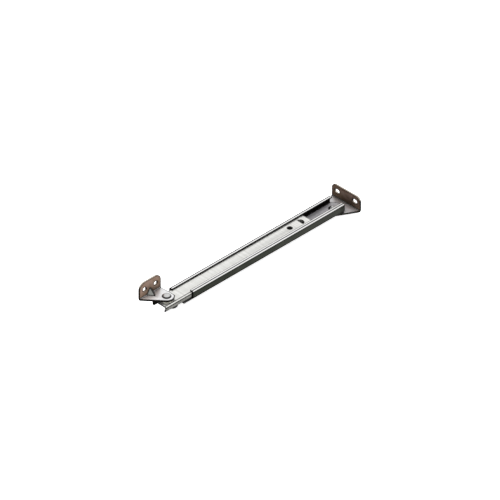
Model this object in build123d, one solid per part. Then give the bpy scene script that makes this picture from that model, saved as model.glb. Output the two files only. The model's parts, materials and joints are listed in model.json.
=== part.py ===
from build123d import *
import os

# Telescopic friction stay for a window. A slide rail telescopes out of a channel. The channel pivots on
# a bracket screwed to the window frame, and the rail carries a pivoting bracket screwed to the sash.
#
# Millimetres. +X runs along the stay from the frame to the sash, +Z is up, out of the channel's mouth.
# The origin is the centre of the two frame screw slots, on the face that meets the window frame.

# ---- Driving dimensions: strip metal and fits
SHEET = 1.2                 # strip thickness of the channel and the rail
BEND = 0.4                  # inner bend radius of the channel and the rail
PLATE = 1.8                 # plate thickness of the two brackets
PLATE_BEND = 0.4            # inner bend radius of the two brackets
RUNNING_FIT = 0.05          # radial clearance of a rivet in its hole
RUNNING_GAP = 0.05          # gap between flat faces that turn or slide on each other
CLOSING_GAP = 0.7           # between the buffer and the end of the channel's floor, stay closed
SNAP_PLAY = 0.1             # clearance round a moulded part that drops into its seat

# ---- Channel
CHANNEL_WIDTH = 22.2
CHANNEL_HEIGHT = 9.5
CHANNEL_LIP = 4.3           # width of each lip, turned in over the rail
CHANNEL_START = 14.5        # X where the walls begin, by the frame bracket; the floor's round end goes on
CHANNEL_END = 241.0         # X of the end that the rail comes out of
LIP_TOP = 2.4               # Z of the lips' upper faces
CUTBACK = 11.8              # length of the near wall cut away, to bare the rail's side by the sash bracket
CUTBACK_DEPTH = 5.6         # how far in from the near wall the cut reaches

# ---- Rail
RAIL_WIDTH = 19.2
RAIL_HEIGHT = 6.3
RAIL_FOOT = 2.3             # width of each foot, turned in under the rail
RAIL_START = 56.5           # X of the inner end, with the stay closed
RAIL_END = 265.9
RAIL_DROP = 1.6             # depth of the web's top below the lips' top
ACCESS_X = 81.6             # hole over the friction adjuster
ACCESS_RADIUS = 2.75
LANCE_X = 67.0              # sheared edge of the half dome pressed down to hold the brake carrier
LANCE_RADIUS = 4.25
LANCE_DEPTH = 3.2

# ---- Frame bracket
FRAME_PIVOT_X = 20.0
FRAME_WIDTH = 40.0
FRAME_TOP = 7.2             # Z of the flange's upper edge
FRAME_NOSE = 8.5            # radius of the plate's end round the pivot
FRAME_CORNER = 5.5
SLOT_SPACING = 25.0
SLOT_WIDTH = 4.3
SLOT_LENGTH = 6.4

# ---- Sash bracket
SASH_PIVOT_X = 255.4
SASH_NOSE = 8.0             # radius of the plate's end round the pivot
SASH_CLEARANCE = 0.3        # gap between the plate and the channel's lips, which it swings over
SASH_FLANGE_LEAD = 7.2      # how far the flange reaches past the pivot, towards the channel
SASH_FLANGE_LENGTH = 30.2
SASH_FLANGE_HEIGHT = 18.9   # from the plate's underside to the flange's upper edge
SASH_REACH = 17.0           # from the pivot's axis to the face that meets the sash
SASH_CORNER = 7.5
SASH_HOLE_RADIUS = 2.25
SASH_HOLE_SPACING = 15.4
SASH_HOLE_HEIGHT = 10.2     # above the plate's underside
GUSSET_HEIGHT = 8.0         # up the flange from the plate
GUSSET_LENGTH = 7.9         # along the plate from the flange
GUSSET_HALF_WIDTH = 5.3
GUSSET_ROOT = 0.5           # how deep the gusset's edges sit in the metal, so that it joins the bend
DENT_SCALE = 0.9            # size of the hollow behind the gusset against the gusset

# ---- Pivot rivets and their stacks
RIVET_HEAD_RADIUS = 4.25
RIVET_HEAD = 1.5
RIVET_RIM = 0.6             # upright edge of a head below its dome
SHANK_RADIUS = 2.5
TAIL_RADIUS = 3.6
TAIL = 1.1
BEARING_RADIUS = 5.4
FRAME_BEARING = 0.8
SPRING_RADIUS = 4.4
SPRING_STRIP = 0.4
SPRING_HEIGHT = 0.7
BACKING_RADIUS = 4.6
BACKING = 0.8

# ---- Travel stop and closing buffer
STOP_X = 225.0
STOP_RADIUS = 3.2
STOP_HEIGHT = 3.0
STOP_SHANK = 1.8
STOP_TAIL_RADIUS = 2.9
STOP_TAIL = 0.9
BUFFER_RADIUS = 5.9
BUFFER_NECK_RADIUS = 2.8
BUFFER_NECK = 3.5
BUFFER_DEPTH = 10.8         # from the web's underside to the buffer's bottom
BUFFER_EDGE = 0.6           # rounding of the buffer's lower edge
BUFFER_RECESS = 1.6         # depth of the recess for the rivet's washer
BUFFER_SHANK = 1.5
BUFFER_FLUSH_RADIUS = 2.6   # countersunk head, flush with the web
BUFFER_WASHER_RADIUS = 3.0
BUFFER_WASHER = 0.5
BUFFER_TAIL_RADIUS = 2.2
BUFFER_TAIL = 0.8

# ---- Brake, inside the rail under its web
CARRIER_START = 67.4
CARRIER_END = 91.2
CARRIER_WIDTH = 16.2
CARRIER_WAIST = 14.0        # width between the rail's feet
CARRIER_BASE = 0.9          # height of the carrier's underside above the channel's floor
SPIGOT_RADIUS = 2.65
SPIGOT_RECESS = 0.6         # depth of the spigot's top below the web's top
SCREW_RADIUS = 2.0
SCREW_LENGTH = 2.8
SCREW_SOCKET = 2.0          # size across flats of the hexagon socket
SCREW_SOCKET_DEPTH = 1.5
SCREW_RECESS = 1.6          # depth of the screw's top below the web's top
NUT_SIDE = 7.0
NUT_THICKNESS = 2.0
NUT_DEPTH = 2.1             # depth of the nut's top below the web's top
POCKET_LENGTH = 17.0
POCKET_WIDTH = 11.4
PAD_LENGTH = 16.4
PAD_WIDTH = 10.8
PAD_THICKNESS = 1.0
LEAF_LENGTH = 15.6
LEAF_WIDTH = 9.6
LEAF_STRIP = 0.3
LEAF_RISE = 0.35
THRUST_SIDE = 6.0
THRUST_THICKNESS = 0.5

# ---- Levels and places that follow from them
CHANNEL_BASE = LIP_TOP - CHANNEL_HEIGHT
FLOOR_TOP = CHANNEL_BASE + SHEET
RAIL_TOP = LIP_TOP - RAIL_DROP
WEB_UNDERSIDE = RAIL_TOP - SHEET
FRAME_PLATE_TOP = CHANNEL_BASE - FRAME_BEARING - RUNNING_GAP
FRAME_PLATE_BASE = FRAME_PLATE_TOP - PLATE
SASH_PLATE_BASE = LIP_TOP + SASH_CLEARANCE
SASH_BEARING = SASH_PLATE_BASE - RUNNING_GAP - RAIL_TOP
SASH_PLATE_TOP = SASH_PLATE_BASE + PLATE
SASH_FLANGE_START = SASH_PIVOT_X - SASH_FLANGE_LEAD
SASH_FLANGE_MIDDLE = SASH_FLANGE_START + SASH_FLANGE_LENGTH / 2
BUFFER_X = CHANNEL_END + BUFFER_RADIUS + CLOSING_GAP
HOLE_RADIUS = SHANK_RADIUS + RUNNING_FIT
PAD_TOP = FLOOR_TOP + RUNNING_GAP + PAD_THICKNESS
LEAF_TOP = PAD_TOP + LEAF_STRIP + LEAF_RISE
THRUST_TOP = LEAF_TOP + THRUST_THICKNESS


def at(x, z):
    """Place on the stay's centre line."""
    return Pos(x, 0, z)


def disc(radius, height):
    """Plain disc standing on Z = 0."""
    return Cylinder(radius, height, align=(Align.CENTER, Align.CENTER, Align.MIN))


def ring(outer, inner, height):
    """Flat washer standing on Z = 0."""
    return disc(outer, height) - disc(inner, height)


def dome(radius, height, rim):
    """Low domed disc standing on Z = 0, with an upright rim."""
    edge = TangentArc((0, height), (radius, rim), tangent=(1, 0))
    outline = Polyline((radius, rim), (radius, 0), (0, 0), (0, height))
    return revolve(Plane.XZ * make_face([edge, outline]), Axis.Z)


def disc_spring(outer, inner, strip, height):
    """Coned spring washer standing on Z = 0, its narrow end up."""
    outline = Polyline(
        (outer, 0),
        (outer, strip),
        (inner, height),
        (inner, height - strip),
        close=True,
    )
    return revolve(Plane.XZ * make_face(outline), Axis.Z)


def rivet(head_radius, head, shank_radius, grip, tail_radius, tail):
    """Rivet on the Z axis, its head seated on Z = 0, its tail spread under the grip."""
    body = dome(head_radius, head, RIVET_RIM)
    body += Pos(0, 0, -grip) * disc(shank_radius, grip)
    return body + Pos(0, 0, -grip) * (Rot(180, 0, 0) * dome(tail_radius, tail, tail / 3))


def lipped_section(width, height, lip):
    """Section of a rolled channel open upwards, standing on y = 0, drawn in x and y."""
    half = width / 2
    outer = FilletPolyline(
        (lip - half, height),
        (-half, height),
        (-half, 0),
        (half, 0),
        (half, height),
        (half - lip, height),
        radius=BEND + SHEET,
    )
    wall = half - SHEET
    inner = FilletPolyline(
        (lip - half, height - SHEET),
        (-wall, height - SHEET),
        (-wall, SHEET),
        (wall, SHEET),
        (wall, height - SHEET),
        (half - lip, height - SHEET),
        radius=BEND,
    )
    return make_face([outer, inner, Line(outer @ 0, inner @ 0), Line(outer @ 1, inner @ 1)])


def angle_section(plate_length, flange_height):
    """Section of a bent bracket: flange up from the origin, plate along +x, drawn in x and y."""
    outer = FilletPolyline(
        (0, flange_height),
        (0, 0),
        (plate_length, 0),
        radius=PLATE_BEND + PLATE,
    )
    inner = FilletPolyline(
        (PLATE, flange_height),
        (PLATE, PLATE),
        (plate_length, PLATE),
        radius=PLATE_BEND,
    )
    return make_face([outer, inner, Line(outer @ 0, inner @ 0), Line(outer @ 1, inner @ 1)])


def flange_outline(width, height, corner):
    """Flange seen square on: upright on y = 0, centred on x = 0, its two upper corners rounded."""
    blank = Rectangle(width, height, align=(Align.CENTER, Align.MIN))
    return fillet(blank.vertices().group_by(Axis.Y)[-1], corner)


def make_outer_channel():
    """Rolled channel, its floor rounded about the frame pivot, its near wall cut back at the sash end."""
    section = Plane.YZ * lipped_section(CHANNEL_WIDTH, CHANNEL_HEIGHT, CHANNEL_LIP)
    length = CHANNEL_END - CHANNEL_START
    channel = at(CHANNEL_START, CHANNEL_BASE) * extrude(section, amount=length, dir=(1, 0, 0))
    flat_width = CHANNEL_WIDTH - 2 * (BEND + SHEET)
    flat = Box(FRAME_PIVOT_X, flat_width, SHEET, align=(Align.MAX, Align.CENTER, Align.MIN))
    channel += at(FRAME_PIVOT_X, CHANNEL_BASE) * (disc(CHANNEL_WIDTH / 2, SHEET) & flat)
    cut = Box(CUTBACK, CUTBACK_DEPTH, CHANNEL_HEIGHT, align=(Align.MAX, Align.MAX, Align.MIN))
    channel -= Pos(CHANNEL_END, CHANNEL_WIDTH / 2, FLOOR_TOP) * cut
    channel -= at(FRAME_PIVOT_X, CHANNEL_BASE) * disc(HOLE_RADIUS, SHEET)
    return channel - at(STOP_X, CHANNEL_BASE) * disc(STOP_SHANK + RUNNING_FIT, SHEET)


def lance_ball(wall):
    """Half ball round which the lance is pressed, with wall added, below the web's top."""
    ball_radius = (LANCE_RADIUS ** 2 + LANCE_DEPTH ** 2) / (2 * LANCE_DEPTH)
    reach = 2 * ball_radius
    below = Box(reach, 2 * reach, reach, align=(Align.MAX, Align.CENTER, Align.MAX))
    ball = at(0, ball_radius - LANCE_DEPTH) * Sphere(ball_radius + wall)
    return at(LANCE_X, RAIL_TOP) * (ball & below)


def make_slide_rail():
    """Rolled rail, open downwards, with the adjuster's hole, the brake's lance and two rivet holes."""
    section = Rot(180, 0, 0) * lipped_section(RAIL_WIDTH, RAIL_HEIGHT, RAIL_FOOT)
    length = RAIL_END - RAIL_START
    rail = at(RAIL_START, RAIL_TOP) * extrude(Plane.YZ * section, amount=length, dir=(1, 0, 0))
    through = {
        ACCESS_X: ACCESS_RADIUS,
        SASH_PIVOT_X: HOLE_RADIUS,
    }
    for x, radius in through.items():
        rail -= at(x, WEB_UNDERSIDE) * disc(radius, SHEET)
    rail -= at(BUFFER_X, WEB_UNDERSIDE) * flush_head(RUNNING_FIT)
    return rail + lance_ball(SHEET) - lance_ball(0)


def make_frame_bracket():
    """Bent plate: flange against the window frame, plate under the channel."""
    plate_end = FRAME_PIVOT_X + FRAME_NOSE
    section = Plane.XZ * angle_section(plate_end, FRAME_TOP - FRAME_PLATE_BASE)
    bracket = extrude(section, amount=FRAME_WIDTH / 2, both=True)
    root = Rectangle(PLATE + PLATE_BEND, FRAME_WIDTH, align=(Align.MIN, Align.CENTER))
    nose = Pos(FRAME_PIVOT_X, 0) * Circle(FRAME_NOSE)
    bracket &= extrude(make_hull([*root.edges(), *nose.edges()]), amount=FRAME_TOP - FRAME_PLATE_BASE)
    outline = flange_outline(FRAME_WIDTH, FRAME_TOP - FRAME_PLATE_BASE, FRAME_CORNER)
    bracket &= extrude(Plane.YZ * outline, amount=plate_end, dir=(1, 0, 0))
    bracket -= at(FRAME_PIVOT_X, 0) * disc(HOLE_RADIUS, PLATE)
    slot = extrude(Plane.YZ * SlotOverall(SLOT_LENGTH, SLOT_WIDTH), amount=PLATE, dir=(1, 0, 0))
    for side in (-1, 1):
        bracket -= Pos(0, side * SLOT_SPACING / 2, -FRAME_PLATE_BASE) * slot
    return at(0, FRAME_PLATE_BASE) * bracket


def gusset(scale, shift):
    """Three-sided ridge in the bracket's corner, its root at the origin, moved out by shift."""
    root = -GUSSET_ROOT
    crest = (0, root, scale * GUSSET_HEIGHT)
    toe = (0, scale * GUSSET_LENGTH, root)
    left = (-scale * GUSSET_HALF_WIDTH, root, root)
    right = (scale * GUSSET_HALF_WIDTH, root, root)
    triangles = [(crest, toe, left), (crest, right, toe), (crest, left, right), (toe, right, left)]
    faces = [Face(Wire.make_polygon(corners, close=True)) for corners in triangles]
    return Pos(0, -shift, -shift) * Solid(Shell(faces))


def make_sash_bracket():
    """Bent plate on the rail: a plate round the pivot, a flange for the sash and a pressed gusset."""
    plate_length = SASH_REACH + SASH_NOSE
    section = Plane.YZ * angle_section(plate_length, SASH_FLANGE_HEIGHT)
    bracket = extrude(section, amount=SASH_FLANGE_LENGTH / 2, both=True)
    middle_to_pivot = SASH_PIVOT_X - SASH_FLANGE_MIDDLE
    root = Rectangle(SASH_FLANGE_LENGTH, PLATE + PLATE_BEND, align=(Align.CENTER, Align.MIN))
    nose = Pos(middle_to_pivot, SASH_REACH) * Circle(SASH_NOSE)
    bracket &= extrude(make_hull([*root.edges(), *nose.edges()]), amount=SASH_FLANGE_HEIGHT)
    outline = flange_outline(SASH_FLANGE_LENGTH, SASH_FLANGE_HEIGHT, SASH_CORNER)
    bracket &= extrude(Plane.XZ * outline, amount=plate_length, dir=(0, 1, 0))
    bracket += Pos(0, PLATE, PLATE) * gusset(1, 0)
    bracket -= Pos(0, PLATE, PLATE) * gusset(DENT_SCALE, PLATE)
    bracket -= Pos(middle_to_pivot, SASH_REACH, 0) * disc(HOLE_RADIUS, PLATE)
    hole = extrude(Plane.XZ * Circle(SASH_HOLE_RADIUS), amount=PLATE, dir=(0, 1, 0))
    for side in (-1, 1):
        bracket -= Pos(side * SASH_HOLE_SPACING / 2, 0, SASH_HOLE_HEIGHT) * hole
    return Pos(SASH_FLANGE_MIDDLE, -SASH_REACH, SASH_PLATE_BASE) * bracket


def make_frame_rivet():
    """Pivot rivet with its head inside the channel and its tail under the backing washer."""
    grip = FLOOR_TOP - FRAME_PLATE_BASE + RUNNING_GAP + SPRING_HEIGHT + BACKING
    body = rivet(RIVET_HEAD_RADIUS, RIVET_HEAD, SHANK_RADIUS, grip, TAIL_RADIUS, TAIL)
    return at(FRAME_PIVOT_X, FLOOR_TOP) * body


def make_sash_rivet():
    """Pivot rivet with its head on the sash bracket and its tail inside the rail."""
    seat = SASH_PLATE_TOP + RUNNING_GAP
    grip = seat - WEB_UNDERSIDE + SPRING_HEIGHT + BACKING
    body = rivet(RIVET_HEAD_RADIUS, RIVET_HEAD, SHANK_RADIUS, grip, TAIL_RADIUS, TAIL)
    return at(SASH_PIVOT_X, seat) * body


def make_travel_stop_rivet():
    """Shouldered rivet in the channel's floor that the brake carrier runs up against."""
    body = dome(STOP_RADIUS, STOP_HEIGHT, STOP_HEIGHT - RIVET_RIM)
    body += at(0, -SHEET) * disc(STOP_SHANK, SHEET)
    body += at(0, -SHEET) * (Rot(180, 0, 0) * dome(STOP_TAIL_RADIUS, STOP_TAIL, STOP_TAIL / 3))
    return at(STOP_X, FLOOR_TOP) * body


def flush_head(play):
    """Countersunk head standing on Z = 0, as tall as the web, larger all round by play."""
    return Cone(
        BUFFER_SHANK + play,
        BUFFER_FLUSH_RADIUS + play,
        SHEET,
        align=(Align.CENTER, Align.CENTER, Align.MIN),
    )


def make_stop_buffer():
    """Rubber buffer under the rail that meets the end of the channel's floor when the stay closes."""
    body = disc(BUFFER_RADIUS, BUFFER_DEPTH - BUFFER_NECK)
    body = fillet(body.edges().group_by(Axis.Z)[0], BUFFER_EDGE)
    body += at(0, BUFFER_DEPTH - BUFFER_NECK) * disc(BUFFER_NECK_RADIUS, BUFFER_NECK)
    body -= disc(BUFFER_SHANK + RUNNING_FIT, BUFFER_DEPTH)
    body -= disc(BUFFER_WASHER_RADIUS + SNAP_PLAY, BUFFER_RECESS)
    return at(BUFFER_X, WEB_UNDERSIDE - BUFFER_DEPTH) * body


def make_buffer_rivet():
    """Countersunk rivet that holds the buffer, flush with the web's top."""
    grip = BUFFER_DEPTH - BUFFER_RECESS + BUFFER_WASHER
    body = flush_head(0) + at(0, -grip) * disc(BUFFER_SHANK, grip)
    tail = dome(BUFFER_TAIL_RADIUS, BUFFER_TAIL, BUFFER_TAIL / 3)
    body += at(0, -grip) * (Rot(180, 0, 0) * tail)
    return at(BUFFER_X, WEB_UNDERSIDE) * body


def make_buffer_washer():
    """Washer between the rubber buffer and its rivet's tail."""
    washer = ring(BUFFER_WASHER_RADIUS, BUFFER_SHANK + RUNNING_FIT, BUFFER_WASHER)
    seat = WEB_UNDERSIDE - BUFFER_DEPTH + BUFFER_RECESS
    return at(BUFFER_X, seat - BUFFER_WASHER) * washer


def make_brake_carrier():
    """Moulded block in the rail's end: it holds the adjuster's nut, the leaf spring and the pad."""
    length = CARRIER_END - CARRIER_START
    top = WEB_UNDERSIDE - SNAP_PLAY
    step = RAIL_TOP - RAIL_HEIGHT + SHEET + SNAP_PLAY
    base = FLOOR_TOP + CARRIER_BASE
    from_base = (Align.MIN, Align.CENTER, Align.MIN)
    body = at(CARRIER_START, step) * Box(length, CARRIER_WIDTH, top - step, align=from_base)
    body += at(CARRIER_START, base) * Box(length, CARRIER_WAIST, step - base, align=from_base)
    body += at(ACCESS_X, top) * disc(SPIGOT_RADIUS, RAIL_TOP - SPIGOT_RECESS - top)
    upright = (Align.CENTER, Align.CENTER, Align.MIN)
    pocket = Box(POCKET_LENGTH, POCKET_WIDTH, THRUST_TOP + SNAP_PLAY - base, align=upright)
    body -= at(ACCESS_X, base) * pocket
    nut_seat = Box(NUT_SIDE + SNAP_PLAY, NUT_SIDE + SNAP_PLAY, RAIL_TOP - NUT_DEPTH - base, align=upright)
    body -= at(ACCESS_X, base) * nut_seat
    return body - at(ACCESS_X, base) * disc(SCREW_RADIUS + SNAP_PLAY, RAIL_TOP - base)


def make_adjuster_nut():
    """Square nut held in the carrier."""
    nut = Box(NUT_SIDE, NUT_SIDE, NUT_THICKNESS, align=(Align.CENTER, Align.CENTER, Align.MAX))
    hole = Cylinder(SCREW_RADIUS + RUNNING_FIT, 2 * NUT_THICKNESS)
    return at(ACCESS_X, RAIL_TOP - NUT_DEPTH - RUNNING_GAP) * (nut - hole)


def make_adjuster_screw():
    """Headless screw with a hexagon socket that presses the brake down."""
    screw = disc(SCREW_RADIUS, SCREW_LENGTH)
    screw = chamfer(screw.edges().group_by(Axis.Z)[0], RUNNING_FIT * 6)
    socket = extrude(RegularPolygon(SCREW_SOCKET / 2, 6, major_radius=False), amount=SCREW_SOCKET_DEPTH)
    screw -= at(0, SCREW_LENGTH - SCREW_SOCKET_DEPTH) * socket
    return at(ACCESS_X, RAIL_TOP - SCREW_RECESS - SCREW_LENGTH) * screw


def make_thrust_plate():
    """Small steel plate that spreads the screw's push over the leaf spring."""
    plate = Box(THRUST_SIDE, THRUST_SIDE, THRUST_THICKNESS, align=(Align.CENTER, Align.CENTER, Align.MIN))
    return at(ACCESS_X, LEAF_TOP) * plate


def make_leaf_spring():
    """Bowed leaf spring, its ends on the pad and its middle under the thrust plate."""
    half = LEAF_LENGTH / 2
    lower = ThreePointArc((-half, 0), (0, LEAF_RISE), (half, 0))
    upper = ThreePointArc((-half, LEAF_STRIP), (0, LEAF_STRIP + LEAF_RISE), (half, LEAF_STRIP))
    section = make_face([lower, upper, Line(lower @ 0, upper @ 0), Line(lower @ 1, upper @ 1)])
    return at(ACCESS_X, PAD_TOP) * extrude(Plane.XZ * section, amount=LEAF_WIDTH / 2, both=True)


def make_brake_pad():
    """Friction pad pressed on the channel's floor."""
    pad = Box(PAD_LENGTH, PAD_WIDTH, PAD_THICKNESS, align=(Align.CENTER, Align.CENTER, Align.MAX))
    return at(ACCESS_X, PAD_TOP) * pad


def pivot_stack():
    """Washers and springs of the two pivots, by node name."""
    spring = disc_spring(SPRING_RADIUS, HOLE_RADIUS, SPRING_STRIP, SPRING_HEIGHT)
    backing = ring(BACKING_RADIUS, HOLE_RADIUS, BACKING)
    frame_spring = FRAME_PLATE_BASE - RUNNING_GAP - SPRING_HEIGHT
    sash_spring = WEB_UNDERSIDE - SPRING_HEIGHT
    frame_bearing = ring(BEARING_RADIUS, HOLE_RADIUS, FRAME_BEARING)
    sash_bearing = ring(BEARING_RADIUS, HOLE_RADIUS, SASH_BEARING)
    return {
        "frame_bearing_washer": at(FRAME_PIVOT_X, CHANNEL_BASE - FRAME_BEARING) * frame_bearing,
        "frame_disc_spring": at(FRAME_PIVOT_X, frame_spring) * spring,
        "frame_backing_washer": at(FRAME_PIVOT_X, frame_spring - BACKING) * backing,
        "sash_bearing_washer": at(SASH_PIVOT_X, RAIL_TOP) * sash_bearing,
        "sash_disc_spring": at(SASH_PIVOT_X, sash_spring) * spring,
        "sash_backing_washer": at(SASH_PIVOT_X, sash_spring - BACKING) * backing,
    }


NODES = {
    "frame_bracket": make_frame_bracket(),
    "frame_rivet": make_frame_rivet(),
    "outer_channel": make_outer_channel(),
    "travel_stop_rivet": make_travel_stop_rivet(),
    "slide_rail": make_slide_rail(),
    "brake_carrier": make_brake_carrier(),
    "adjuster_nut": make_adjuster_nut(),
    "adjuster_screw": make_adjuster_screw(),
    "thrust_plate": make_thrust_plate(),
    "leaf_spring": make_leaf_spring(),
    "brake_pad": make_brake_pad(),
    "stop_buffer": make_stop_buffer(),
    "buffer_rivet": make_buffer_rivet(),
    "buffer_washer": make_buffer_washer(),
    "sash_bracket": make_sash_bracket(),
    "sash_rivet": make_sash_rivet(),
    **pivot_stack(),
}

os.makedirs("parts", exist_ok=True)
for name, solid in NODES.items():
    export_step(solid, f"parts/{name}.step")
    box = solid.bounding_box()
    print(f"{name}: {solid.volume:.1f} mm3, {box.min} to {box.max}")
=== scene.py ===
# %% [markdown]
# # A telescopic friction stay, finished in Blender
# A friction stay holds a window open where it is put. A rail slides out of a lipped channel against a
# brake, and both ends turn on rivets in bent brackets. The shapes, sizes and joints come from a packed
# CAD model. Here the pieces get the soft edges, turned heads and metal finishes that the CAD leaves out.

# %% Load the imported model
import json
import math

import bpy
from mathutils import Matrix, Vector


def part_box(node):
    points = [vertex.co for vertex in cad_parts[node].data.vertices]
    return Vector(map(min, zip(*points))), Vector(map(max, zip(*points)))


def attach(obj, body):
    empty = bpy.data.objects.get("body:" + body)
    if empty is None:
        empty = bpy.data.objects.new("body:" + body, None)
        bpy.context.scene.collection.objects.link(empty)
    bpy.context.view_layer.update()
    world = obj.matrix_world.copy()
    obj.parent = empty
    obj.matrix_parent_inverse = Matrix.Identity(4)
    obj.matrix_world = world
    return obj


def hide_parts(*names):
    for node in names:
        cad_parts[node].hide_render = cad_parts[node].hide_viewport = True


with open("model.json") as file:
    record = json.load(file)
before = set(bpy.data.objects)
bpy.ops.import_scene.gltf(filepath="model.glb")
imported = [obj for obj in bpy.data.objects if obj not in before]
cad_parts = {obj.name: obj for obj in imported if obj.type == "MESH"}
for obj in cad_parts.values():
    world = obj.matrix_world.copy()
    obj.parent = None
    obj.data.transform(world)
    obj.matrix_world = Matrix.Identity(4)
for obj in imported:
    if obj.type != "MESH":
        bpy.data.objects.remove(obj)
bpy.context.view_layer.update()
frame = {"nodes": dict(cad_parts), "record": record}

MM = 0.001
BODY_OF = {}
for body, nodes in frame["record"]["behaviour"]["bodies"].items():
    for node in nodes:
        BODY_OF[node] = body
SLOT_OF = {part["node"]: part["material_slot"] for part in frame["record"]["subparts"]}
print("pieces in the frame:", len(BODY_OF))

# %% [markdown]
# ## The camera
# A catalogue drawing of hardware is often isometric, with all three directions foreshortened alike. A very
# long lens from far away gives nearly parallel lines, and it is still a real camera with a real distance,
# unlike an orthographic one.

# %% Camera on the isometric diagonal
LENS = 1400.0
SENSOR = 36.0
VIEW_WIDTH = 0.5
VIEW_CENTRE = Vector((0.1359, -0.0020, 0.0))

camera_data = bpy.data.cameras.new("isometric_camera")
camera_data.lens = LENS
camera_data.sensor_width = SENSOR
camera_data.clip_end = 200.0
camera = bpy.data.objects.new("isometric_camera", camera_data)
bpy.context.collection.objects.link(camera)
diagonal = Vector((1.0, 1.0, 1.0)).normalized()
camera.location = VIEW_CENTRE + diagonal * (VIEW_WIDTH * LENS / SENSOR)
camera.rotation_euler = diagonal.to_track_quat("Z", "Y").to_euler()
bpy.context.scene.camera = camera
print("camera distance, m:", round(VIEW_WIDTH * LENS / SENSOR, 2))

# %% [markdown]
# ## The studio
# Metal has no look of its own: it shows what stands round it. Here everything above the horizon is white,
# like a light tent. Below it the metal sees a bench, pale out past the stay's near side and grey out past
# its sash end, and a black wall on the side away from the camera. So each side of the stay gets its own
# tone. The floor and the lamp are hidden from reflections, or upright faces would shine like the tops.

# %% Turn a hex code into a shader colour
def colour(code):
    """Turns an sRGB hex code into the linear colour that a shader wants."""
    channels = [int(code[i:i + 2], 16) / 255 for i in (0, 2, 4)]
    linear = [c / 12.92 if c <= 0.04045 else ((c + 0.055) / 1.055) ** 2.4 for c in channels]
    return (*linear, 1.0)


# %% Add a node
def add_node(tree, kind, inputs=None, output=0, **properties):
    """Adds one node and gives back one output. An input is a value or an earlier output."""
    node = tree.nodes.new("ShaderNode" + kind)
    for key, value in properties.items():
        setattr(node, key, value)
    sockets = inputs if isinstance(inputs, dict) else dict(enumerate(inputs or []))
    for key, value in sockets.items():
        if isinstance(value, bpy.types.NodeSocket):
            tree.links.new(value, node.inputs[key])
        else:
            node.inputs[key].default_value = value
    return node.outputs[output] if len(node.outputs) else None


# %% Lay one colour over another
def lay_over(tree, mask, under, over, start=0.0, end=1.0, share=1.0):
    """Covers a colour with another as the mask goes from start to end, as thickly as share says."""
    cover = add_node(tree, "MapRange", [mask, start, end, 0.0, share])
    layers = [colour(layer) if isinstance(layer, str) else layer for layer in (under, over)]
    return add_node(tree, "Mix", {0: cover, 6: layers[0], 7: layers[1]}, 2, data_type="RGBA")


# %% White tent above, bench and black wall below
SKY = "FFFFFF"
NEAR_BENCH = "E2E2E0"               # what the walls of the near side see
SASH_BENCH = "7C7873"               # what the faces towards the sash see
BLACK_WALL = "0C0B0A"               # what the faces away from the camera see
BENCH_TURN = (-0.9, 0.9)            # where one bench gives way to the other
WALL_TURN = (-0.45, -0.95)          # where the bench gives way to the wall
HORIZON = (-0.10, 0.30)             # where all of them give way to the sky
CURTAIN_RISE = 0.2                  # how much higher the horizon stands at the sash end

world = bpy.data.worlds.new("light_tent")
bpy.context.scene.world = world
world.use_nodes = True
tree = world.node_tree
tree.nodes.clear()
direction = add_node(tree, "TexCoord", output="Generated")
x_part, y_part, z_part = add_node(tree, "SeparateXYZ", [direction]).node.outputs
sashward = add_node(tree, "Math", [x_part, y_part], operation="SUBTRACT")
bench = lay_over(tree, sashward, NEAR_BENCH, SASH_BENCH, *BENCH_TURN)
cameraward = add_node(tree, "Math", [x_part, y_part], operation="ADD")
bench = lay_over(tree, cameraward, bench, BLACK_WALL, *WALL_TURN)
sash_end = add_node(tree, "Math", [sashward, 0.0], operation="MAXIMUM")
curtain = add_node(tree, "Math", [sash_end, CURTAIN_RISE], operation="MULTIPLY")
height = add_node(tree, "Math", [z_part, curtain], operation="SUBTRACT")
room = lay_over(tree, height, bench, SKY, *HORIZON)
glow = add_node(tree, "Background", {"Strength": 1.0, "Color": room})
add_node(tree, "OutputWorld", {"Surface": glow})
print("tent:", len(tree.nodes), "nodes")

# %% Floor lit a little from within
FLOOR_GAP = 0.2 * MM
floor_level = min(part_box(node)[0][2] for node in BODY_OF) - FLOOR_GAP
bpy.ops.object.select_all(action="DESELECT")
bpy.ops.mesh.primitive_plane_add(size=12.0, location=(0.0, 0.0, floor_level))
floor = bpy.context.active_object
floor.name = "pale_floor"
floor.visible_glossy = False
paint = bpy.data.materials.new("matt_white_paint")
paint.use_nodes = True
sockets = paint.node_tree.nodes["Principled BSDF"].inputs
sockets["Base Color"].default_value = colour("FAFAFA")
sockets["Roughness"].default_value = 0.9
sockets["Emission Color"].default_value = colour("FFFFFF")
sockets["Emission Strength"].default_value = 0.8
floor.data.materials.append(paint)
print("floor at, mm:", round(floor_level / MM, 2))

# %% Softbox overhead
AIM = Vector((0.14, 0.0, 0.0))

softbox_data = bpy.data.lights.new("softbox", "AREA")
softbox_data.shape = "RECTANGLE"
softbox_data.size = 1.6
softbox_data.size_y = 1.2
softbox_data.energy = 22.0
softbox = bpy.data.objects.new("softbox", softbox_data)
bpy.context.collection.objects.link(softbox)
softbox.visible_glossy = False
softbox.location = (0.1, -0.6, 1.5)
softbox.rotation_euler = (AIM - softbox.location).to_track_quat("-Z", "Y").to_euler()
bpy.context.scene.view_settings.view_transform = "Standard"
print("softbox from the stay, m:", round((AIM - softbox.location).length, 2))
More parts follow.
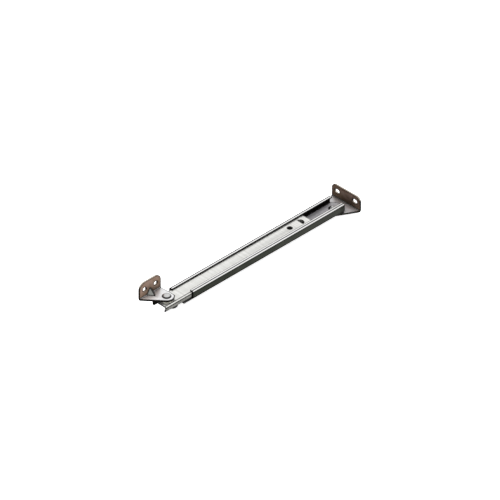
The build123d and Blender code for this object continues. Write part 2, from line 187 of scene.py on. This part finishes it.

# %% [markdown]
# ## Metal finishes
# The strip is stainless steel, EN 1.4301. Rolled strip carries fine lines from the grinding belt, and the
# edges that the press has sheared are dull. Each finish starts with a metal at full metallic and adds belt
# lines as stretched noise in real millimetres. Over that it paints light and shade into the colour: lighter
# copies of a metal on faces that look up and darker ones on upright faces, dark lines along the bends and
# corners, and painted shade in hollows and round the rivet heads. The places of the bends are read from the
# frame's boxes.
# Real belt lines are about a tenth of a millimetre wide, so they are drawn coarser here, or none would show.

# %% Sizes read from the frame
SHEET_MM = 1.2          # strip of the channel and the rail
BEND_OUTSIDE_MM = 1.6   # outer radius of their bends
SKIN_MM = 0.3           # how far past a face a mask for that face reaches
channel_low, channel_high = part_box("outer_channel")
rail_low, rail_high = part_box("slide_rail")
CHANNEL_EDGE = channel_high[1] / MM
CHANNEL_TANGENT = CHANNEL_EDGE - BEND_OUTSIDE_MM
CHANNEL_TOP = channel_high[2] / MM
CHANNEL_BASE = channel_low[2] / MM
CHANNEL_FLOOR = CHANNEL_BASE + SHEET_MM
RAIL_EDGE = rail_high[1] / MM
RAIL_TANGENT = RAIL_EDGE - BEND_OUTSIDE_MM
RAIL_TOP = rail_high[2] / MM
RAIL_BASE = rail_low[2] / MM
LANCE_X = 67.0          # cut edge of the half dome that is pressed out of the rail's web
LANCE_RADIUS = 4.4      # the half dome and its rounded edge
print("bends end, mm from the centre line:", round(CHANNEL_TANGENT, 2), round(RAIL_TANGENT, 2))

# %% Start and end a finish
def new_finish(name):
    """Makes an empty material and gives back it, its tree and its object coordinates in millimetres."""
    material = bpy.data.materials.new(name)
    material.use_nodes = True
    tree = material.node_tree
    tree.nodes.clear()
    metres = add_node(tree, "TexCoord", output="Object")
    return material, tree, add_node(tree, "Mapping", {0: metres, "Scale": (1 / MM, 1 / MM, 1 / MM)})


def finish_off(tree, base, roughness, height, bump_mm, settings):
    """Adds the bump, the Principled shader with its plain settings and the output."""
    bump = add_node(tree, "Bump", {"Strength": 1.0, "Distance": bump_mm * MM, "Height": height})
    inputs = {"Base Color": base, "Roughness": roughness, "Normal": bump, **settings}
    shader = add_node(tree, "BsdfPrincipled", inputs)
    add_node(tree, "OutputMaterial", {"Surface": shader})


# %% Grain
NOISE_RANGE = (0.35, 0.65)      # most of the noise lies between these
STREAK_RANGE = (0.34, 0.66)
PATCH_RANGE = (0.4, 0.65)


def grain(tree, millimetres, size_mm, detail=4.0, roughness=0.5):
    """Noise with spots size_mm long on X, Y and Z: one long side draws them out into belt lines."""
    stretched = add_node(tree, "Mapping", {0: millimetres, "Scale": [1 / size for size in size_mm]})
    inputs = {"Vector": stretched, "Scale": 1.0, "Detail": detail, "Roughness": roughness}
    return add_node(tree, "TexNoise", inputs, "Fac")


# %% Masks from the shape: corners, deep places and the way a face looks
CORNER_MATCH = (0.998, 0.97)    # how well the two normals agree where a corner starts and is full


# The finishes lay dark colour over this mask: painted shade drawn as outlines along every corner.
def edge_mask(tree, radius_mm):
    """Gives 1 within radius_mm of a corner, where a rounded normal leaves the true one, and 0 on the flat."""
    rounded = add_node(tree, "Bevel", {"Radius": radius_mm * MM}, samples=8)
    true = add_node(tree, "NewGeometry", output="Normal")
    match = add_node(tree, "VectorMath", [rounded, true], "Value", operation="DOT_PRODUCT")
    sums = [match, *CORNER_MATCH, 0.0, 1.0]
    return add_node(tree, "MapRange", sums, interpolation_type="SMOOTHSTEP")


def shade_mask(tree, reach_mm, open_value, shut_value):
    """Gives 1 deep in a corner or a slot and 0 in the open, from how much sky a point can see."""
    sky = add_node(tree, "AmbientOcclusion", {"Distance": reach_mm * MM}, "AO", samples=8)
    sums = [sky, open_value, shut_value, 0.0, 1.0]
    return add_node(tree, "MapRange", sums, interpolation_type="SMOOTHSTEP")


def facing(tree, axis):
    """Gives how far a face looks along one axis, from -1 to 1."""
    normal = add_node(tree, "NewGeometry", output="True Normal")
    return add_node(tree, "SeparateXYZ", [normal], axis)


def up_mask(tree, start=0.25, end=0.6):
    """Gives 0 on upright faces and 1 on faces that look up."""
    return add_node(tree, "MapRange", [facing(tree, "Z"), start, end, 0.0, 1.0])


# %% Masks from the place: where tests hold, bands and rings
def where(tree, *tests):
    """Gives 1 where every test holds. A test is a value in mm, GREATER_THAN or LESS_THAN, and a limit."""
    mask = 1.0
    for value, operation, limit in tests:
        held = add_node(tree, "Math", [value, limit], operation=operation)
        mask = add_node(tree, "Math", [mask, held], operation="MULTIPLY")
    return mask


def band(tree, value, middle, width):
    """Gives 1 in the middle of a band of that width and 0 outside it, with soft edges."""
    off = add_node(tree, "Math", [value, middle], operation="SUBTRACT")
    away = add_node(tree, "Math", [off], operation="ABSOLUTE")
    return add_node(tree, "MapRange", [away, width * 0.5, width * 0.35, 0.0, 1.0])


# %% Read a round piece's place
def place_of(node):
    """Gives a round node's axis on X, its lowest and highest level and its radius, all in mm."""
    low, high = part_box(node)
    return (low[0] + high[0]) / 2 / MM, low[2] / MM, high[2] / MM, (high[0] - low[0]) / 2 / MM


# %% Mask a ring of painted shadow round a rivet's head
def rivet_shadow_ring(tree, millimetres, rivet, width):
    """Gives 1 in a ring where a rivet's head meets the sheet, where the finishes paint a dark contact shadow.
    """
    axis_x, _, _, radius = place_of(rivet)
    inputs = {0: millimetres, "Location": (-axis_x, 0.0, 0.0), "Scale": (1.0, 1.0, 0.0)}
    flattened = add_node(tree, "Mapping", inputs)
    from_axis = add_node(tree, "VectorMath", [flattened], "Value", operation="LENGTH")
    return band(tree, from_axis, radius, width)


# %% Rail: bright strip with a fine cross grain
METAL = {"Metallic": 1.0}
SIDE_ZONE_MM = 0.4          # a side's outer skin
WEB_LINE_MM = 1.2
SIDE_LINE_MM = 1.3
LANCE_RIM_MM = 0.1
LANCE_DEPTHS_MM = (0.3, 2.0)
LANCE_SHADES = (0.72, 1.0)


def rail_bends(tree, steel, across, z):
    """Paints dark lines of shade along the bends: one on the web's edge and two on the side."""
    steel = lay_over(tree, band(tree, across, RAIL_TANGENT, WEB_LINE_MM), steel, "3A3A36", share=0.9)
    side = where(tree, (across, "GREATER_THAN", RAIL_EDGE - SIDE_ZONE_MM))
    for line in (RAIL_TOP - BEND_OUTSIDE_MM, RAIL_BASE + BEND_OUTSIDE_MM / 2):
        mark = add_node(tree, "Math", [side, band(tree, z, line, SIDE_LINE_MM)], operation="MULTIPLY")
        steel = lay_over(tree, mark, steel, "161613", share=0.95)
    return steel


def lance_shadow(tree, steel, x, across, z):
    """Darkens the half dome that is pressed down, more towards its bottom."""
    edge = add_node(tree, "MapRange", [x, LANCE_X, LANCE_X + LANCE_RIM_MM, 1.0, 0.0])
    bowl = where(
        tree,
        (x, "GREATER_THAN", LANCE_X - LANCE_RADIUS),
        (across, "LESS_THAN", LANCE_RADIUS),
        (z, "LESS_THAN", RAIL_TOP - LANCE_RIM_MM),
    )
    levels = [RAIL_TOP - depth for depth in LANCE_DEPTHS_MM]
    shade = add_node(tree, "MapRange", [z, *levels, *LANCE_SHADES])
    mask = add_node(tree, "Math", [edge, bowl], operation="MULTIPLY")
    mask = add_node(tree, "Math", [mask, shade], operation="MULTIPLY")
    return lay_over(tree, mask, steel, "0C0C0B")


def rail_finish():
    """Sliding stainless strip with a fine cross grain: wear keeps the web bright, and painted light and shade
    make it lighter than the walls.
    """
    material, tree, mm = new_finish("satin_stainless_rail")
    fine = grain(tree, mm, (0.6, 40.0, 8.0), roughness=0.65)
    broad = grain(tree, mm, (2.6, 60.0, 10.0), roughness=0.6)
    x, y, z = add_node(tree, "SeparateXYZ", [mm]).node.outputs
    across = add_node(tree, "Math", [y], operation="ABSOLUTE")
    up = up_mask(tree)
    # Faces that look up get a light copy of the steel and upright faces a dark copy: painted light and
    # painted shade.
    web = lay_over(tree, broad, "DEDEDA", "F6F6F3", *STREAK_RANGE)
    walls = lay_over(tree, broad, "8E8E8A", "AEAEAA", *STREAK_RANGE)
    steel = rail_bends(tree, lay_over(tree, up, walls, web), across, z)
    within = where(
        tree,
        (across, "LESS_THAN", RAIL_EDGE - SHEET_MM + SKIN_MM),
        (z, "LESS_THAN", RAIL_TOP - SHEET_MM + SKIN_MM),
    )
    upright = add_node(tree, "Math", [1.0, up], operation="SUBTRACT")
    inner_wall_shade = add_node(tree, "Math", [within, upright], operation="MULTIPLY")
    # Upright faces inside the rail are painted near black: painted shade.
    steel = lay_over(tree, inner_wall_shade, steel, "1E1E1B")
    steel = lance_shadow(tree, steel, x, across, z)
    # Dark outlines painted along every corner: painted shade.
    steel = lay_over(tree, edge_mask(tree, 1.3), steel, "24241F", share=0.95)
    roughness = add_node(tree, "MapRange", [fine, 0.0, 1.0, 0.30, 0.46])
    finish_off(tree, steel, roughness, fine, 0.006, METAL)
    return material


# %% Channel: walls and inside in painted shade, lips painted bright, floor painted grey
FLOOR_ROUGHNESS = 0.7
LIP_LINE_MM = 1.5
LIP_LINE_SHIFT_MM = 0.1     # the line lies this much inside the bend's start
WALL_LINE_MM = 1.2
FAR_EDGE_MM = (0.5, 0.3)    # the far edge's line fades in between these distances from the edge


def channel_bends(tree, steel, up, y, across, z):
    """Paints dark lines of shade along the bends: on both lips, along the far edge and twice on the side."""
    lip_line = band(tree, across, CHANNEL_TANGENT - LIP_LINE_SHIFT_MM, LIP_LINE_MM)
    mark = add_node(tree, "Math", [up, lip_line], operation="MULTIPLY")
    steel = lay_over(tree, mark, steel, "2C2C2A", share=0.95)
    far_edge = [distance - CHANNEL_EDGE for distance in FAR_EDGE_MM]
    steel = lay_over(tree, y, steel, "5A5A57", *far_edge, share=0.85)
    side = where(tree, (across, "GREATER_THAN", CHANNEL_EDGE - SIDE_ZONE_MM))
    for line in (CHANNEL_TOP - BEND_OUTSIDE_MM, CHANNEL_BASE + BEND_OUTSIDE_MM):
        mark = add_node(tree, "Math", [side, band(tree, z, line, WALL_LINE_MM)], operation="MULTIPLY")
        steel = lay_over(tree, mark, steel, "0A0A09", share=0.9)
    return steel


def channel_finish():
    """Stainless strip with an olive-grey tone: walls in painted shade, lips painted light, inside painted
    dark as shade.
    """
    material, tree, mm = new_finish("stainless_channel_painted_light_and_shade")
    lines = grain(tree, mm, (60.0, 0.6, 0.6), roughness=0.6)
    cloud = grain(tree, mm, (20.0, 20.0, 20.0))
    y, z = add_node(tree, "SeparateXYZ", [mm]).node.outputs[1:]
    across = add_node(tree, "Math", [y], operation="ABSOLUTE")
    up = up_mask(tree)
    # Upright walls get a dark olive copy of the steel and the lips a near-white copy: painted shade and
    # painted light.
    walls = lay_over(tree, cloud, "3D413A", "474B43", *PATCH_RANGE)
    lips = lay_over(tree, lines, "F4F4F2", "FFFFFF", *NOISE_RANGE)
    shaded_floor_steel = lay_over(tree, cloud, "C9C8CB", "DAD9DC", *PATCH_RANGE)
    inside = where(
        tree,
        (across, "LESS_THAN", CHANNEL_EDGE - SHEET_MM + SKIN_MM),
        (z, "GREATER_THAN", CHANNEL_FLOOR - SKIN_MM),
        (z, "LESS_THAN", CHANNEL_TOP - SHEET_MM + SKIN_MM),
    )
    outer = lay_over(tree, up, walls, lips)
    # Inside the channel, upright faces are painted near black and the floor painted grey: painted shade.
    steel = lay_over(tree, inside, outer, lay_over(tree, up, "0E0E0C", shaded_floor_steel))
    steel = channel_bends(tree, steel, up, y, across, z)
    # A dark ring painted round the rivet's head inside the channel: painted contact shadow.
    ring = add_node(tree, "Math", [inside, rivet_shadow_ring(tree, mm, "frame_rivet", 1.8)], operation="MULTIPLY")
    steel = lay_over(tree, ring, steel, "161616", share=0.9)
    # Dark outlines painted along every corner: painted shade.
    steel = lay_over(tree, edge_mask(tree, 1.3), steel, "141412", share=0.95)
    rubbed = add_node(tree, "MapRange", [lines, 0.0, 1.0, 0.26, 0.38])
    roughness = add_node(tree, "Mix", {0: inside, 2: rubbed, 3: FLOOR_ROUGHNESS}, data_type="FLOAT")
    finish_off(tree, steel, roughness, lines, 0.005, METAL)
    return material


# %% Brackets: painted bronze reflection on the flanges, painted light on the plates
def bracket_finish():
    """Satin stainless plate: a painted warm bronze reflection on the upright flanges, painted light near
    white where it lies flat.
    """
    material, tree, mm = new_finish("stainless_bracket_painted_light_and_shade")
    lines = grain(tree, mm, (0.8, 0.8, 14.0), roughness=0.6)
    cloud = grain(tree, mm, (6.25, 6.25, 6.25))
    flatness = add_node(tree, "Math", [facing(tree, "Z")], operation="ABSOLUTE")
    flat = add_node(tree, "MapRange", [flatness, 0.15, 0.32, 0.0, 1.0])
    # The bronze tone on upright faces is a painted reflection and the near-white tone on flat faces painted
    # light; it is one steel.
    flange = lay_over(tree, cloud, "A08672", "B4998A", *NOISE_RANGE)
    flange = lay_over(tree, shade_mask(tree, 16.0, 0.95, 0.45), flange, "3E3324", share=0.9)
    plate = lay_over(tree, cloud, "EAEAEC", "FBFBFC", *NOISE_RANGE)
    z = add_node(tree, "SeparateXYZ", [mm], "Z")
    # The plate is greyed more the lower it lies, fully below the channel's floor: painted shade.
    plate = lay_over(tree, z, plate, "A3A1A4", 0.0, CHANNEL_FLOOR, 0.5)
    plate = lay_over(tree, shade_mask(tree, 14.0, 0.85, 0.35), plate, "6E6C70", share=0.7)
    # Faces leaning towards -X are painted near black and those towards +X grey: painted shade on the gusset's
    # flanks.
    plate = lay_over(tree, facing(tree, "X"), plate, "141312", -0.2, -0.5, 0.95)
    plate = lay_over(tree, facing(tree, "X"), plate, "8C8E8A", 0.2, 0.5, 0.95)
    # A dark ring painted round the sash rivet's head: painted contact shadow.
    plate = lay_over(tree, rivet_shadow_ring(tree, mm, "sash_rivet", 1.6), plate, "0D0C0B", share=0.85)
    steel = lay_over(tree, flat, flange, plate)
    # Dark outlines painted along every corner: painted shade.
    steel = lay_over(tree, edge_mask(tree, 2.1), steel, "14100E", share=0.97)
    roughness = add_node(tree, "MapRange", [lines, 0.0, 1.0, 0.36, 0.5])
    finish_off(tree, steel, roughness, lines, 0.006, METAL)
    return material


# %% Sheared edges: painted light where they look up, painted shade on the sides
def sheared_finish():
    """The torn face that a press leaves: matt, painted dark as shade on its sides and painted pale as light
    where it looks up.
    """
    material, tree, mm = new_finish("sheared_steel_edge")
    tearing = grain(tree, mm, (1 / 3, 1 / 3, 1 / 3))
    sides = lay_over(tree, tearing, "141311", "25231F", *NOISE_RANGE)
    tops = lay_over(tree, tearing, "B5AB9F", "CFC6BB", *NOISE_RANGE)
    steel = lay_over(tree, up_mask(tree, 0.2, 0.6), sides, tops)
    roughness = add_node(tree, "MapRange", [tearing, 0.0, 1.0, 0.5, 0.7])
    finish_off(tree, steel, roughness, tearing, 0.01, METAL)
    return material


# %% Small steel pieces
def small_steel(name, dark, light, painted_edge_tone, smooth, rough):
    """Makes a fine-grained steel between two tones, with a painted tone on its shoulders and corners: painted
    shade where it is darker, a painted highlight where it is lighter.
    """
    material, tree, mm = new_finish(name)
    speckle = grain(tree, mm, (0.45, 0.45, 0.45), detail=5.0)
    steel = lay_over(tree, speckle, dark, light, *NOISE_RANGE)
    steel = lay_over(tree, facing(tree, "Z"), steel, painted_edge_tone, 0.96, 0.8, 0.9)
    steel = lay_over(tree, edge_mask(tree, 1.0), steel, painted_edge_tone)
    roughness = add_node(tree, "MapRange", [speckle, 0.0, 1.0, smooth, rough])
    finish_off(tree, steel, roughness, speckle, 0.004, METAL)
    return material


# %% Plastics, rubber and brake lining
ACETAL = {"IOR": 1.48}
RUBBER = {"IOR": 1.52}
LINING = {"IOR": 1.5}


def moulded(name, dark, light, smooth, rough, size_mm, bump_mm, settings):
    """Makes a moulded surface between two tones, with the tool's grain."""
    material, tree, mm = new_finish(name)
    texture = grain(tree, mm, (size_mm, size_mm, size_mm), detail=5.0)
    base = lay_over(tree, texture, dark, light, *NOISE_RANGE)
    roughness = add_node(tree, "MapRange", [texture, 0.0, 1.0, smooth, rough])
    finish_off(tree, base, roughness, texture, bump_mm, settings)
    return material


# %% Give each material slot its finish
# Polished heads mirror the white tent, zinc is a cool soft grey, hardened spring steel is warm and oily, and
# black oxide is nearly black with a dull shine. Natural acetal is waxy white, black acetal a little glossy,
# brake lining matt and gritty, and rubber deep black with hardly a highlight.
FINISHES = {
    "rail_steel": rail_finish(),
    "channel_steel": channel_finish(),
    "bracket_steel": bracket_finish(),
    "rivet_steel": small_steel("polished_rivet_steel", "C4C4C4", "DEDEDE", "0D0C0B", 0.2, 0.34),
    "plated_steel": small_steel("zinc_plated_steel", "A9ADB2", "C9CDD2", "60615F", 0.3, 0.45),
    "spring_steel": small_steel("oiled_spring_steel", "57534E", "77726B", "2C2A27", 0.3, 0.42),
    # The black oxide's lighter shoulders and corners are a painted highlight; the other small steels' darker
    # ones are painted shade.
    "screw_steel": small_steel("black_oxide_screw_steel", "26262A", "3B3B40", "6A6A6A", 0.38, 0.5),
    "acetal_white": moulded("natural_acetal", "DDDBD0", "EBE9E0", 0.35, 0.5, 0.8, 0.01, ACETAL),
    "acetal_black": moulded("black_acetal", "141415", "1E1E20", 0.36, 0.5, 0.8, 0.01, ACETAL),
    "friction_pad": moulded("brake_lining", "3C2C22", "6A503C", 0.75, 0.95, 0.5, 0.05, LINING),
    "black_rubber": moulded("black_rubber", "0E0E0E", "1C1C1C", 0.6, 0.8, 0.5, 0.03, RUBBER),
}
SHEARED = sheared_finish()

for node, slot in SLOT_OF.items():
    mesh = frame["nodes"][node].data
    mesh.materials.clear()
    mesh.materials.append(FINISHES[slot])
print("finishes:", ", ".join(sorted(FINISHES)))

# %% [markdown]
# ## Softened copies of the bent sheets
# The CAD pieces have knife edges. A real blank is tumbled after the press, so its edges are broken by a
# tenth or two of a millimetre and catch a thin light. Each sheet is copied, its loose triangles are merged
# into whole faces, the sheared faces get their own dull finish, and a Bevel modifier breaks the edges.

# %% Break edges and take over from the CAD piece
BREAK_ANGLE = 40
SMOOTH_ANGLE = 32


def break_edges(piece, break_mm):
    """Rounds every edge sharper than the break angle and smooths the rest."""
    bpy.context.view_layer.objects.active = piece
    edge_break = piece.modifiers.new("edge_break", "BEVEL")
    edge_break.width = break_mm * MM
    edge_break.segments = 2
    edge_break.limit_method = "ANGLE"
    edge_break.angle_limit = math.radians(BREAK_ANGLE)
    edge_break.use_clamp_overlap = True
    bpy.ops.object.modifier_apply(modifier="edge_break")
    bpy.ops.object.select_all(action="DESELECT")
    piece.select_set(True)
    bpy.ops.object.shade_smooth_by_angle(angle=math.radians(SMOOTH_ANGLE))


def take_over(piece, node):
    """Gives the piece a node's finish and body, and shows it in that node's place."""
    if not piece.data.materials:
        piece.data.materials.append(FINISHES[SLOT_OF[node]])
    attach(piece, BODY_OF[node])
    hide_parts(node)
    print(piece.name, "has", len(piece.data.polygons), "faces")


# %% Copy a CAD piece
WELD_MM = 0.001
COPLANAR_ANGLE = 0.5


def softened(node, name, break_mm, is_sheared=None):
    """Copies a CAD node as a piece with broken edges; is_sheared picks the faces that the press cut."""
    piece = bpy.data.objects.new(name, frame["nodes"][node].data.copy())
    bpy.context.collection.objects.link(piece)
    bpy.ops.object.select_all(action="DESELECT")
    piece.select_set(True)
    bpy.context.view_layer.objects.active = piece
    bpy.ops.object.mode_set(mode="EDIT")
    bpy.ops.mesh.select_all(action="SELECT")
    bpy.ops.mesh.remove_doubles(threshold=WELD_MM * MM)
    bpy.ops.mesh.dissolve_limited(angle_limit=math.radians(COPLANAR_ANGLE))
    bpy.ops.object.mode_set(mode="OBJECT")
    if is_sheared:
        piece.data.materials.append(SHEARED)
        for face in piece.data.polygons:
            if is_sheared(face.center / MM, face.normal):
                face.material_index = 1
    break_edges(piece, break_mm)
    take_over(piece, node)


# %% Which faces the press sheared
FLAT = 0.97             # a normal that lies along an axis
UPRIGHT = 0.05          # a normal that is almost square to an axis
TILTED = 0.2            # a normal that leans clearly towards an axis
PLATE_MM = 1.8          # plate of the two brackets
BEND_ZONE_MM = 1.1      # height of the bend above the plate
BACK_ZONE_MM = 2.0      # faces this near the mounting face are the flange's back or the bend
TURNED_IN_MM = 7.5      # the lips and the feet end within this distance of the centre line
LANCE_REACH_MM = 7.0    # the half dome lies within this distance of its cut edge


def frame_bracket_sheared(centre, normal):
    """Upright rim of the plate, and every face of the flange that is not one of its two broad sides."""
    if centre.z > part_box("frame_bracket")[0][2] / MM + PLATE_MM + BEND_ZONE_MM:
        return abs(normal.x) < FLAT
    return abs(normal.z) < UPRIGHT and (centre.x > BACK_ZONE_MM or abs(normal.y) > FLAT)


def sash_bracket_sheared(centre, normal):
    """The same for the sash bracket, whose flange stands along the stay; the gusset isn't cut."""
    low = [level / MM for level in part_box("sash_bracket")[0]]
    if centre.z > low[2] + PLATE_MM + BEND_ZONE_MM:
        on_gusset = normal.z > TILTED and normal.y > TILTED
        return abs(normal.y) < FLAT and not on_gusset
    return abs(normal.z) < UPRIGHT and (abs(normal.y) < FLAT or centre.y > low[1] + BACK_ZONE_MM)


def channel_sheared(centre, normal):
    """Square ends, the lips' inner edges and the rivet holes."""
    lip_edge = abs(normal.y) > FLAT and abs(centre.y) < TURNED_IN_MM
    return abs(normal.x) > TILTED or lip_edge


def rail_sheared(centre, normal):
    """Square ends, the feet's inner edges and the holes through the web, but not the pressed half dome."""
    foot_edge = abs(normal.y) > FLAT and abs(centre.y) < TURNED_IN_MM
    near_lance = LANCE_X - LANCE_REACH_MM < centre.x < LANCE_X - LANCE_RIM_MM
    in_lance = near_lance and abs(normal.z) > UPRIGHT
    return (abs(normal.x) > TILTED or foot_edge) and not in_lance


# %% The four bent sheets
softened("frame_bracket", "frame_bracket_plate", 0.15, frame_bracket_sheared)
softened("sash_bracket", "sash_bracket_plate", 0.15, sash_bracket_sheared)
softened("outer_channel", "rolled_channel", 0.12, channel_sheared)
softened("slide_rail", "rolled_rail", 0.12, rail_sheared)

# %% [markdown]
# ## The brake's flat pieces
# The brake carrier is moulded, so all its corners are round. The nut, the thrust plate, the leaf spring and
# the pad are cut from bar or strip and only lose their burr. All five are plain blocks and sheets that the
# CAD already shapes well, so they are copied and softened in the same way.

# %% The brake inside the rail
softened("brake_carrier", "moulded_carrier", 0.25)
softened("adjuster_nut", "square_nut", 0.2)
softened("thrust_plate", "thrust_plate_blank", 0.08)
softened("leaf_spring", "bowed_leaf", 0.06)
softened("brake_pad", "lining_pad", 0.15)

# %% [markdown]
# ## Turned and formed round pieces
# Rivets, washers, coned springs and the buffer are all round, so each is drawn as one outline next to its
# axis and spun. The outline starts as a plane merged to one point, which is then extruded from corner to
# corner. A head closed with a forming tool has a flat crown and a sloped shoulder, not a perfect dome.

# %% Spin an outline round its axis
SPIN_STEPS = 64
SEAM_MM = 0.002


def turned(node, name, outline, break_mm):
    """Spins an outline of (radius, level) corners in mm round a node's axis and breaks its edges."""
    axis_x = place_of(node)[0]
    bpy.ops.object.select_all(action="DESELECT")
    bpy.ops.mesh.primitive_plane_add(size=MM, location=(0.0, 0.0, 0.0))
    piece = bpy.context.active_object
    piece.name = name
    bpy.ops.object.mode_set(mode="EDIT")
    bpy.ops.mesh.select_all(action="SELECT")
    bpy.ops.mesh.merge(type="CENTER")
    radius, level = outline[0]
    bpy.ops.transform.translate(value=((axis_x + radius) * MM, 0.0, level * MM))
    for next_radius, next_level in outline[1:]:
        step = ((next_radius - radius) * MM, 0.0, (next_level - level) * MM)
        bpy.ops.mesh.extrude_region_move(TRANSFORM_OT_translate={"value": step})
        radius, level = next_radius, next_level
    bpy.ops.mesh.select_all(action="SELECT")
    bpy.ops.mesh.spin(
        steps=SPIN_STEPS,
        angle=math.tau,
        center=(axis_x * MM, 0.0, 0.0),
        axis=(0.0, 0.0, 1.0),
    )
    bpy.ops.mesh.select_all(action="SELECT")
    bpy.ops.mesh.remove_doubles(threshold=SEAM_MM * MM)
    bpy.ops.mesh.normals_make_consistent(inside=False)
    bpy.ops.object.mode_set(mode="OBJECT")
    break_edges(piece, break_mm)
    take_over(piece, node)
    return piece


# %% Pivot rivets and the stop rivet
PIVOT_RIVET = {"head": 1.5, "tail": 1.1, "shank": 2.5, "tail_radius": 3.6}
STOP_RIVET = {"head": 3.0, "tail": 0.9, "shank": 1.8, "tail_radius": 2.9}


def rivet_outline(node, head, tail, shank, tail_radius):
    """Head with a flat crown and a sloped shoulder, plain shank, and a low spread tail with a dimple."""
    bottom, top, radius = place_of(node)[1:]
    seat = top - head
    spread_level = bottom + tail
    return [
        (0.0, top),
        (radius * 0.6, top),
        (radius * 0.86, top - head * 0.24),
        (radius * 0.97, top - head * 0.52),
        (radius, seat + head * 0.3),
        (radius, seat),
        (shank, seat),
        (shank, spread_level),
        (tail_radius, spread_level),
        (tail_radius, bottom + tail * 0.5),
        (tail_radius * 0.8, bottom + tail * 0.12),
        (tail_radius * 0.45, bottom),
        (tail_radius * 0.3, bottom + tail * 0.25),
        (0.0, bottom + tail * 0.3),
    ]


turned("frame_rivet", "frame_pivot_rivet", rivet_outline("frame_rivet", **PIVOT_RIVET), 0.1)
turned("sash_rivet", "sash_pivot_rivet", rivet_outline("sash_rivet", **PIVOT_RIVET), 0.1)
turned("travel_stop_rivet", "stop_rivet", rivet_outline("travel_stop_rivet", **STOP_RIVET), 0.1)

# %% Countersunk rivet that holds the buffer
FLUSH_HEAD_RADIUS = 2.6
BUFFER_SHANK = 1.5
BUFFER_TAIL_RADIUS = 2.2
BUFFER_TAIL = 0.8
BUFFER_TAIL_EDGE = 0.35
low, high = place_of("buffer_rivet")[1:3]
countersunk = [
    (0.0, high),
    (FLUSH_HEAD_RADIUS, high),
    (BUFFER_SHANK, high - SHEET_MM),
    (BUFFER_SHANK, low + BUFFER_TAIL),
    (BUFFER_TAIL_RADIUS, low + BUFFER_TAIL),
    (BUFFER_TAIL_RADIUS, low + BUFFER_TAIL_EDGE),
    (BUFFER_SHANK, low),
    (0.0, low),
]
turned("buffer_rivet", "countersunk_buffer_rivet", countersunk, 0.06)

# %% Washers and coned springs
PIVOT_BORE = 2.55
BUFFER_BORE = 1.55
SPRING_STRIP = 0.4


def washer_outline(node, bore):
    """Square section, from the bore out and back."""
    bottom, top, radius = place_of(node)[1:]
    return [(bore, bottom), (radius, bottom), (radius, top), (bore, top), (bore, bottom)]


def spring_outline(node):
    """Cone of spring strip, wide end down."""
    bottom, top, radius = place_of(node)[1:]
    return [
        (radius, bottom),
        (radius, bottom + SPRING_STRIP),
        (PIVOT_BORE, top),
        (PIVOT_BORE, top - SPRING_STRIP),
        (radius, bottom),
    ]


WASHERS = (
    ("frame_bearing_washer", "frame_acetal_washer", PIVOT_BORE, 0.12),
    ("sash_bearing_washer", "sash_acetal_spacer", PIVOT_BORE, 0.2),
    ("frame_backing_washer", "frame_plated_washer", PIVOT_BORE, 0.1),
    ("sash_backing_washer", "sash_plated_washer", PIVOT_BORE, 0.1),
    ("buffer_washer", "buffer_plated_washer", BUFFER_BORE, 0.06),
)
for node, name, bore, break_mm in WASHERS:
    turned(node, name, washer_outline(node, bore), break_mm)
for end in ("frame", "sash"):
    node = end + "_disc_spring"
    turned(node, end + "_coned_spring", spring_outline(node), 0.05)

# %% [markdown]
# ## The rubber buffer
# The buffer is moulded in two halves of a mould, which meet half way up and leave a fine flash line there.
# It is round like the rivets, so it is spun too, with the flash drawn as a small peak in its outline.

# %% Rubber buffer with its mould line
NECK = 3.5
NECK_RADIUS = 2.8
RECESS = 1.6
RECESS_RADIUS = 3.1
FLASH = 0.15
TOP_CHAMFER = 0.5
BOTTOM_CHAMFER = 0.7
low, high, radius = place_of("stop_buffer")[1:]
shoulder = high - NECK
mould_line = (low + shoulder) / 2
wall = radius - FLASH
buffer_outline = [
    (BUFFER_BORE, high),
    (NECK_RADIUS, high),
    (NECK_RADIUS, shoulder),
    (wall - TOP_CHAMFER, shoulder),
    (wall, shoulder - TOP_CHAMFER),
    (wall, mould_line + FLASH),
    (radius, mould_line),
    (wall, mould_line - FLASH),
    (wall, low + BOTTOM_CHAMFER),
    (radius - BOTTOM_CHAMFER, low),
    (RECESS_RADIUS, low),
    (RECESS_RADIUS, low + RECESS),
    (BUFFER_BORE, low + RECESS),
    (BUFFER_BORE, high),
]
turned("stop_buffer", "rubber_buffer", buffer_outline, 0.08)

# %% [markdown]
# ## The adjuster screw
# A headless screw is a rod with a rolled thread and a hexagon broached into its end. The thread is drawn as
# rings, because half a turn of helix can't be told from a ring at this size. The hexagon is a six-sided
# cylinder taken out with a Boolean, as a broach would push it in.

# %% Threaded body
PITCH = 0.7
THREAD_DEPTH = 0.32
screw_x, low, high, radius = place_of("adjuster_screw")
root = radius - THREAD_DEPTH
screw_outline = [(0.0, low), (root, low)]
turn = low + PITCH / 2
while turn < high - PITCH / 2:
    screw_outline += [(radius, turn), (root, turn + PITCH / 2)]
    turn += PITCH
screw_outline += [(root, high), (0.0, high)]
screw = turned("adjuster_screw", "threaded_adjuster", screw_outline, 0.03)

# %% Hexagon socket
SOCKET_FLATS = 2.0
SOCKET_DEPTH = 1.5
bpy.ops.object.select_all(action="DESELECT")
bpy.ops.mesh.primitive_cylinder_add(
    vertices=6,
    radius=SOCKET_FLATS / math.sqrt(3) * MM,
    depth=2 * SOCKET_DEPTH * MM,
    location=(screw_x * MM, 0.0, high * MM),
)
broach = bpy.context.active_object
socket = screw.modifiers.new("hexagon_socket", "BOOLEAN")
socket.operation = "DIFFERENCE"
socket.object = broach
bpy.context.view_layer.objects.active = screw
bpy.ops.object.modifier_apply(modifier="hexagon_socket")
bpy.data.objects.remove(broach)
print("screw has", len(screw.data.polygons), "faces")
